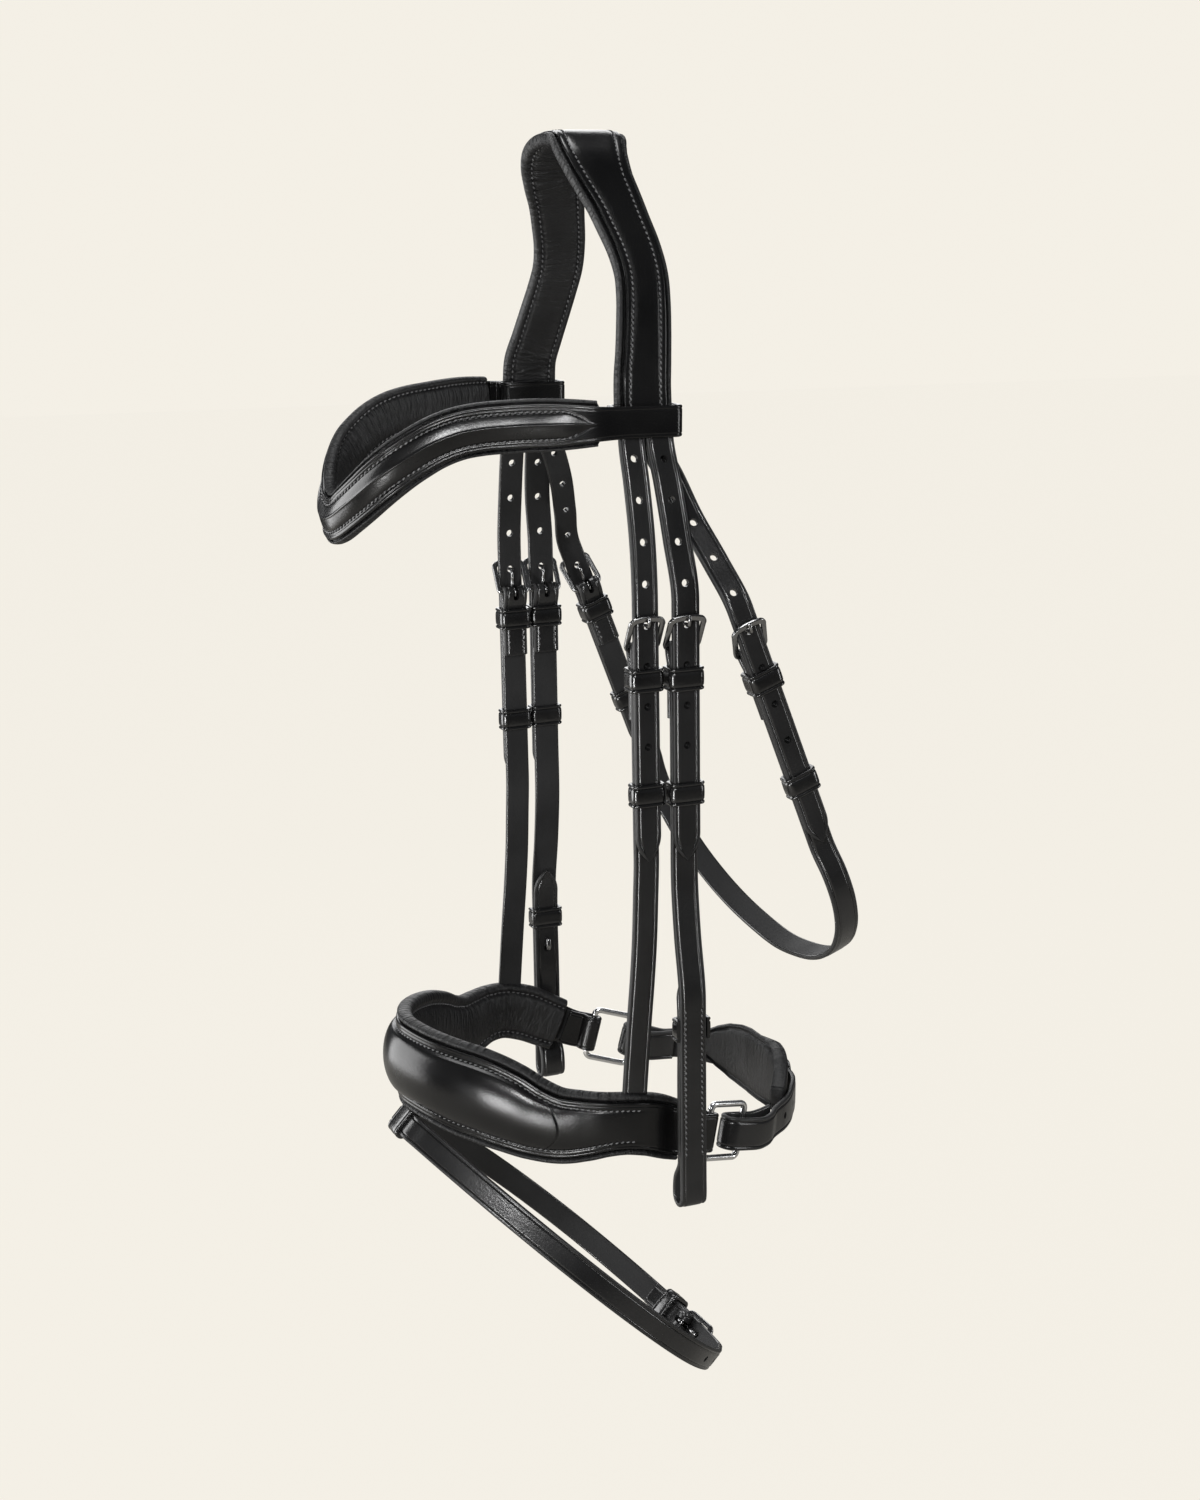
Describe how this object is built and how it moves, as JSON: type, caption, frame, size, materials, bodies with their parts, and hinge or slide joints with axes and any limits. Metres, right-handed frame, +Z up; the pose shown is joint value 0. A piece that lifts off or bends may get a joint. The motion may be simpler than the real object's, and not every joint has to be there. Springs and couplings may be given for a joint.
{
  "type": "dressage bridle",
  "caption": "Padded dressage bridle with an anatomic crown, curved browband, crank noseband with chin pad, flash strap, throatlash and cheekpieces ending in bit loops",
  "frame": {"origin": "underside of the crown's padding line at its middle, where the bridle rests on the poll behind the ears", "axes": "+Z up, +X to the horse's rear, +Y to the horse's right side; the browband and noseband are on the -X side"},
  "size_m": [0.2571, 0.2272, 0.6541],
  "materials": {
    "black_leather": "black bridle leather, satin gloss with a fine grain",
    "soft_lining": "soft black lining leather over foam, matt",
    "polished_steel": "polished stainless steel"
  },
  "bodies": {
    "headpiece": {"browband_padding": "soft_lining", "browband_shell": "black_leather", "cheek_billet_left": "black_leather", "cheek_billet_right": "black_leather", "cheek_buckle_left": "polished_steel", "cheek_buckle_right": "polished_steel", "cheek_fixed_keeper_left": "black_leather", "cheek_fixed_keeper_right": "black_leather", "cheekpiece_left": "black_leather", "cheekpiece_right": "black_leather", "chin_pad": "soft_lining", "crank_billet": "black_leather", "crank_buckle": "polished_steel", "crank_keeper": "black_leather", "crank_strap": "black_leather", "crown_padding": "soft_lining", "crown_shell": "black_leather", "hook_stud_left": "polished_steel", "hook_stud_right": "polished_steel", "noseband_billet_left": "black_leather", "noseband_billet_right": "black_leather", "noseband_buckle_left": "polished_steel", "noseband_buckle_right": "polished_steel", "noseband_fixed_keeper_left": "black_leather", "noseband_fixed_keeper_right": "black_leather", "noseband_hanger_left": "black_leather", "noseband_hanger_right": "black_leather", "noseband_padding": "soft_lining", "noseband_shell": "black_leather", "stud_keeper_left": "black_leather", "stud_keeper_right": "black_leather", "throat_billet_left": "black_leather", "throat_billet_right": "black_leather", "throat_buckle_left": "polished_steel", "throat_buckle_right": "polished_steel", "throat_fixed_keeper_left": "black_leather", "throat_fixed_keeper_right": "black_leather", "throatlash": "black_leather"},
    "cheek_runner_left": {"cheek_runner_left": "black_leather"},
    "cheek_runner_right": {"cheek_runner_right": "black_leather"},
    "noseband_runner_left": {"noseband_runner_left": "black_leather"},
    "noseband_runner_right": {"noseband_runner_right": "black_leather"},
    "throat_runner_left": {"throat_runner_left": "black_leather"},
    "throat_runner_right": {"throat_runner_right": "black_leather"},
    "cheek_tongue_left": {"cheek_tongue_left": "polished_steel"},
    "cheek_tongue_right": {"cheek_tongue_right": "polished_steel"},
    "noseband_tongue_left": {"noseband_tongue_left": "polished_steel"},
    "noseband_tongue_right": {"noseband_tongue_right": "polished_steel"},
    "throat_tongue_left": {"throat_tongue_left": "polished_steel"},
    "throat_tongue_right": {"throat_tongue_right": "polished_steel"},
    "crank_tongue": {"crank_tongue": "polished_steel"},
    "side_ring_left": {"side_ring_left": "polished_steel"},
    "side_ring_right": {"side_ring_right": "polished_steel"},
    "flash": {"flash_buckle": "polished_steel", "flash_keeper": "black_leather", "flash_loop": "black_leather", "flash_strap": "black_leather"},
    "flash_tongue": {"flash_tongue": "polished_steel"}
  },
  "joints": [
    {"name": "cheek_runner_left_slide", "type": "slide", "parent": "headpiece", "child": "cheek_runner_left", "axis": [0.0157, 0, -0.9999], "range_m": [-0.028, 0.02]},
    {"name": "cheek_runner_right_slide", "type": "slide", "parent": "headpiece", "child": "cheek_runner_right", "axis": [0.0157, 0, -0.9999], "range_m": [-0.028, 0.02]},
    {"name": "noseband_runner_left_slide", "type": "slide", "parent": "headpiece", "child": "noseband_runner_left", "axis": [0.0209, 0, -0.9998], "range_m": [-0.028, 0.02]},
    {"name": "noseband_runner_right_slide", "type": "slide", "parent": "headpiece", "child": "noseband_runner_right", "axis": [0.0209, 0, -0.9998], "range_m": [-0.028, 0.02]},
    {"name": "throat_runner_left_slide", "type": "slide", "parent": "headpiece", "child": "throat_runner_left", "axis": [0.3665, 0, -0.9304], "range_m": [-0.028, 0.02]},
    {"name": "throat_runner_right_slide", "type": "slide", "parent": "headpiece", "child": "throat_runner_right", "axis": [0.3665, 0, -0.9304], "range_m": [-0.028, 0.02]},
    {"name": "cheek_tongue_left_hinge", "type": "hinge", "parent": "headpiece", "child": "cheek_tongue_left", "pos_m": [0.0115, -0.0895, -0.23], "axis": [0.9999, 0, 0.0157], "range_deg": [0, 3]},
    {"name": "cheek_tongue_right_hinge", "type": "hinge", "parent": "headpiece", "child": "cheek_tongue_right", "pos_m": [0.0115, 0.0895, -0.23], "axis": [-0.9999, 0, -0.0157], "range_deg": [0, 3]},
    {"name": "noseband_tongue_left_hinge", "type": "hinge", "parent": "headpiece", "child": "noseband_tongue_left", "pos_m": [-0.0076, -0.0861, -0.23], "axis": [0.9998, 0, 0.0209], "range_deg": [0, 3]},
    {"name": "noseband_tongue_right_hinge", "type": "hinge", "parent": "headpiece", "child": "noseband_tongue_right", "pos_m": [-0.0076, 0.0861, -0.23], "axis": [-0.9998, 0, -0.0209], "range_deg": [0, 3]},
    {"name": "throat_tongue_left_hinge", "type": "hinge", "parent": "headpiece", "child": "throat_tongue_left", "pos_m": [0.042, -0.1025, -0.232], "axis": [0.9304, 0, 0.3665], "range_deg": [0, 3]},
    {"name": "throat_tongue_right_hinge", "type": "hinge", "parent": "headpiece", "child": "throat_tongue_right", "pos_m": [0.042, 0.1025, -0.232], "axis": [-0.9304, 0, -0.3665], "range_deg": [0, 3]},
    {"name": "crank_tongue_hinge", "type": "hinge", "parent": "headpiece", "child": "crank_tongue", "pos_m": [0.1064, 0.00799, -0.492], "axis": [0, -0.0004, 1], "range_deg": [0, 3]},
    {"name": "side_ring_left_hinge", "type": "hinge", "parent": "headpiece", "child": "side_ring_left", "pos_m": [0.03338, -0.07819, -0.48292], "axis": [0.2127, 0.0732, 0.9744], "range_deg": [-5, 0]},
    {"name": "side_ring_right_hinge", "type": "hinge", "parent": "headpiece", "child": "side_ring_right", "pos_m": [0.03338, 0.07819, -0.48292], "axis": [0.2127, -0.0732, 0.9744], "range_deg": [0, 5]},
    {"name": "flash_hinge", "type": "hinge", "parent": "headpiece", "child": "flash", "pos_m": [-0.0987, 0, -0.47704], "axis": [0, 1, 0], "range_deg": [-15, 40]},
    {"name": "flash_tongue_hinge", "type": "hinge", "parent": "flash", "child": "flash_tongue", "pos_m": [0.05979, 0.00801, -0.63366], "axis": [0.6756, 0, 0.7373], "range_deg": [0, 3]}
  ]
}
